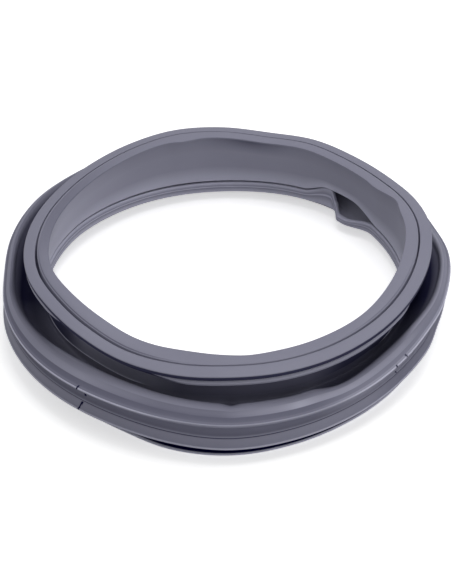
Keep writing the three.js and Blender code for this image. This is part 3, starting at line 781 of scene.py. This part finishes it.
def place_on_ring(rows, degrees):
    """Vertices of the warped ring, row by row, in millimetres."""
    placed = []
    turn = np.radians(degrees)
    for row in rows:
        radius, height = row[:, 0], row[:, 1]
        outward = ramp(0.0, 1.0, radius, SLEEVE_FOOT_RADIUS + WALL, FOOT_INNER_RADIUS + WALL)
        outer = outer_warp(height, degrees)
        inner = inner_warp(height, degrees)
        pocket = pocket_warp(radius, height, degrees)
        swell = mix(inner[0], outer[0], outward) + pocket[0]
        rise = mix(inner[1], outer[1], outward) + pocket[1]
        wide = radius + swell
        placed.append(np.stack([wide * np.sin(turn), -wide * np.cos(turn), height + rise], -1))
    return np.array(placed)


def mark_tones(grid, degrees):
    """Dark tone at the vertices that lie on a mould mark, 1 elsewhere."""
    radius, height = np.hypot(grid[..., 0], grid[..., 1]), grid[..., 2]
    tones = np.ones(radius.shape)
    for (first_angle, first_height), (last_angle, last_height) in MARKS:
        share = np.clip((height - first_height) / (last_height - first_height), 0.0, 1.0)
        aside = np.radians(away(degrees, mix(first_angle, last_angle, share))) * radius
        beyond = np.maximum(height - first_height, last_height - height)
        on_mark = (np.abs(aside) < MARK_HALF_WIDTH) & (beyond < MARK_END) & (radius > MARK_RADIUS)
        tones = np.where(on_mark, MARK_TONE, tones)
    return tones


def link_mesh(name, points, faces):
    """New object in the scene from points in millimetres."""
    mesh = bpy.data.meshes.new(name)
    mesh.from_pydata((np.asarray(points, float) * MM).tolist(), [], faces)
    made = bpy.data.objects.new(name, mesh)
    bpy.context.collection.objects.link(made)
    return made


def make_ring():
    """The seal as one closed smooth mesh round the ring's axis, with its tones."""
    degrees = column_angles()
    rows = section(degrees)
    grid = place_on_ring(rows, degrees)
    tones = np.array([row[:, 2] for row in rows]) * mark_tones(grid, degrees)
    grid[..., :2] += RING_AXIS
    index = np.arange(tones.size).reshape(tones.shape)
    right = np.roll(index, -1, axis=1)
    above = np.roll(index, -1, axis=0)
    above_right = np.roll(right, -1, axis=0)
    faces = np.stack([index, right, above_right, above], -1).reshape(-1, 4)
    ring = link_mesh("seal_body", grid.reshape(-1, 3), faces.tolist())
    ring.data.attributes.new(TONE, "FLOAT", "POINT").data.foreach_set("value", tones.ravel())
    ring.data.shade_smooth()
    ring.data.update()
    return ring


def empty_tree(owner):
    """Node tree of a material or world, with nothing in it."""
    owner.use_nodes = True
    owner.node_tree.nodes.clear()
    return owner.node_tree


def add_node(tree, kind, settings=None, **inputs):
    """New node with its settings and the values of its own sockets."""
    node = tree.nodes.new(kind)
    for name, value in (settings or {}).items():
        setattr(node, name, value)
    for name, value in inputs.items():
        node.inputs[name.replace("_", " ")].default_value = value
    return node


def add_math(tree, operation, first, second):
    """Math node of two terms, each a number or another node's socket."""
    node = add_node(tree, "ShaderNodeMath", {"operation": operation})
    for socket, term in zip(node.inputs, (first, second)):
        if isinstance(term, float):
            socket.default_value = term
        else:
            tree.links.new(term, socket)
    return node.outputs[0]


def add_rubber_colour(tree, clouds, tone):
    """Two greys in clouds, with painted shade or painted light from the tone, which may pass 1."""
    tint = add_node(tree, "ShaderNodeMix", {"data_type": "RGBA"}, A=RUBBER_DARK, B=RUBBER_PALE)
    toned = add_node(tree, "ShaderNodeMix", {"data_type": "RGBA", "clamp_factor": False}, A=PAINTED_SHADE_COLOUR)
    tree.links.new(clouds, tint.inputs["Factor"])
    tree.links.new(tint.outputs["Result"], toned.inputs["B"])
    tree.links.new(tone, toned.inputs["Factor"])
    return toned.outputs["Result"]


def rubber():
    """Satin grey moulded rubber: faint clouds, fine grain, painted highlights on edges, painted shade in
    matt recesses.
    """
    material = bpy.data.materials.new("seal_rubber")
    tree = empty_tree(material)
    link = tree.links.new
    output = add_node(tree, "ShaderNodeOutputMaterial")
    shader = add_node(tree, "ShaderNodeBsdfPrincipled")
    place = add_node(tree, "ShaderNodeTexCoord")
    tone = add_node(tree, "ShaderNodeAttribute", {"attribute_name": TONE})
    clouds = add_node(tree, "ShaderNodeTexNoise", Scale=CLOUD_SCALE, Detail=CLOUD_DETAIL)
    grain = add_node(tree, "ShaderNodeTexNoise", Scale=GRAIN_SCALE, Detail=GRAIN_DETAIL)
    relief = add_node(tree, "ShaderNodeBump", Strength=GRAIN_STRENGTH, Distance=GRAIN_DEPTH * MM)
    rough = add_node(tree, "ShaderNodeMapRange", To_Min=ROUGHNESS_LEAST, To_Max=ROUGHNESS_MOST)
    for texture in (clouds, grain):
        link(place.outputs["Object"], texture.inputs["Vector"])
    # The tone's painted shade also dims the gloss; above 1 it leaves the gloss as it is.
    capped_tone = add_math(tree, "MINIMUM", tone.outputs["Fac"], 1.0)
    specular = add_math(tree, "MULTIPLY", capped_tone, RUBBER_SPECULAR)
    colour = add_rubber_colour(tree, clouds.outputs["Fac"], tone.outputs["Fac"])
    link(clouds.outputs["Fac"], rough.inputs["Value"])
    link(grain.outputs["Fac"], relief.inputs["Height"])
    link(colour, shader.inputs["Base Color"])
    link(specular, shader.inputs["Specular IOR Level"])
    link(rough.outputs["Result"], shader.inputs["Roughness"])
    link(relief.outputs["Normal"], shader.inputs["Normal"])
    link(shader.outputs["BSDF"], output.inputs["Surface"])
    return material


def floor_paper():
    """White paper with the seal's shadow; for the camera it is lifted to the backdrop's white."""
    material = bpy.data.materials.new("floor_paper")
    tree = empty_tree(material)
    link = tree.links.new
    output = add_node(tree, "ShaderNodeOutputMaterial")
    shader = add_node(tree, "ShaderNodeBsdfDiffuse", Color=FLOOR_COLOUR)
    glow = add_node(tree, "ShaderNodeEmission", Color=WHITE)
    path = add_node(tree, "ShaderNodeLightPath")
    place = add_node(tree, "ShaderNodeTexCoord")
    from_middle = add_node(tree, "ShaderNodeVectorMath", {"operation": "LENGTH"})
    fade = add_node(tree, "ShaderNodeMapRange", From_Min=FLOOR_FADE_FROM * MM, From_Max=FLOOR_FADE_TO * MM,
                    To_Min=FLOOR_LIFT, To_Max=FLOOR_LIFT_FAR)
    both = add_node(tree, "ShaderNodeAddShader")
    link(place.outputs["Object"], from_middle.inputs[0])
    link(from_middle.outputs["Value"], fade.inputs["Value"])
    lift = add_math(tree, "MULTIPLY", path.outputs["Is Camera Ray"], fade.outputs["Result"])
    link(lift, glow.inputs["Strength"])
    link(shader.outputs["BSDF"], both.inputs[0])
    link(glow.outputs["Emission"], both.inputs[1])
    link(both.outputs["Shader"], output.inputs["Surface"])
    return material


def make_floor():
    """Pale floor that catches the seal's shadow."""
    corners = [(across * FLOOR_HALF_SIZE, along * FLOOR_HALF_SIZE, 0)
               for across, along in ((-1, -1), (1, -1), (1, 1), (-1, 1))]
    floor = link_mesh("floor", corners, [(0, 1, 2, 3)])
    floor.data.materials.append(floor_paper())


def make_world():
    """Soft surrounding light; the camera and mirror rays see plain white."""
    world = bpy.data.worlds.new("studio")
    bpy.context.scene.world = world
    tree = empty_tree(world)
    link = tree.links.new
    output = add_node(tree, "ShaderNodeOutputWorld")
    light = add_node(tree, "ShaderNodeBackground", Color=SKY_COLOUR, Strength=SKY_STRENGTH)
    white = add_node(tree, "ShaderNodeBackground", Color=WHITE, Strength=1.0)
    choice = add_node(tree, "ShaderNodeMixShader")
    path = add_node(tree, "ShaderNodeLightPath")
    seen = add_math(tree, "MAXIMUM", path.outputs["Is Camera Ray"], path.outputs["Is Glossy Ray"])
    seen = add_math(tree, "MAXIMUM", seen, path.outputs["Is Transmission Ray"])
    link(seen, choice.inputs["Fac"])
    link(light.outputs[0], choice.inputs[1])
    link(white.outputs[0], choice.inputs[2])
    link(choice.outputs[0], output.inputs["Surface"])


def make_lamp(name, place, aim, size, power):
    """Square soft lamp that faces a point; places in metres."""
    data = bpy.data.lights.new(name, "AREA")
    data.shape = "SQUARE"
    data.size = size
    data.energy = power
    lamp = bpy.data.objects.new(name, data)
    bpy.context.collection.objects.link(lamp)
    lamp.location = place
    direction = Vector(aim) - Vector(place)
    lamp.rotation_euler = direction.to_track_quat("-Z", "Y").to_euler()


def make_camera():
    """The photo's view: the target falls on its pixel by aim alone, with no shift."""
    elevation, roll = math.radians(CAMERA_ELEVATION), math.radians(CAMERA_ROLL)
    forward = Vector((0.0, math.cos(elevation), -math.sin(elevation)))
    target = Vector((*RING_AXIS, CAMERA_TARGET_HEIGHT)) * MM
    place = target - forward * CAMERA_DISTANCE * MM
    upright = forward.to_track_quat("-Z", "Y").to_matrix()
    across = (CAMERA_TARGET_PIXEL[0] - PHOTO_WIDTH / 2) / CAMERA_FOCAL_PIXELS
    down = (CAMERA_TARGET_PIXEL[1] - PHOTO_HEIGHT / 2) / CAMERA_FOCAL_PIXELS
    turned = upright @ Matrix.Rotation(-roll, 3, "Z")
    turned = turned @ Matrix.Rotation(math.atan(across), 3, "Y")
    turned = turned @ Matrix.Rotation(math.atan(down), 3, "X")
    data = bpy.data.cameras.new("camera")
    data.sensor_width = SENSOR_SIZE
    data.lens = CAMERA_FOCAL_PIXELS / PHOTO_HEIGHT * SENSOR_SIZE
    data.clip_start, data.clip_end = NEAREST_SEEN * MM, FARTHEST_SEEN * MM
    camera = bpy.data.objects.new("camera", data)
    bpy.context.collection.objects.link(camera)
    camera.matrix_world = Matrix.Translation(place) @ turned.to_4x4()
    bpy.context.scene.camera = camera


make_camera()
make_world()
for lamp in LAMPS:
    make_lamp(*lamp)
make_floor()

ring = make_ring()
ring.data.materials.append(rubber())
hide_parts(NODE)
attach(ring, "root")

bpy.context.scene.view_settings.view_transform = "Standard"
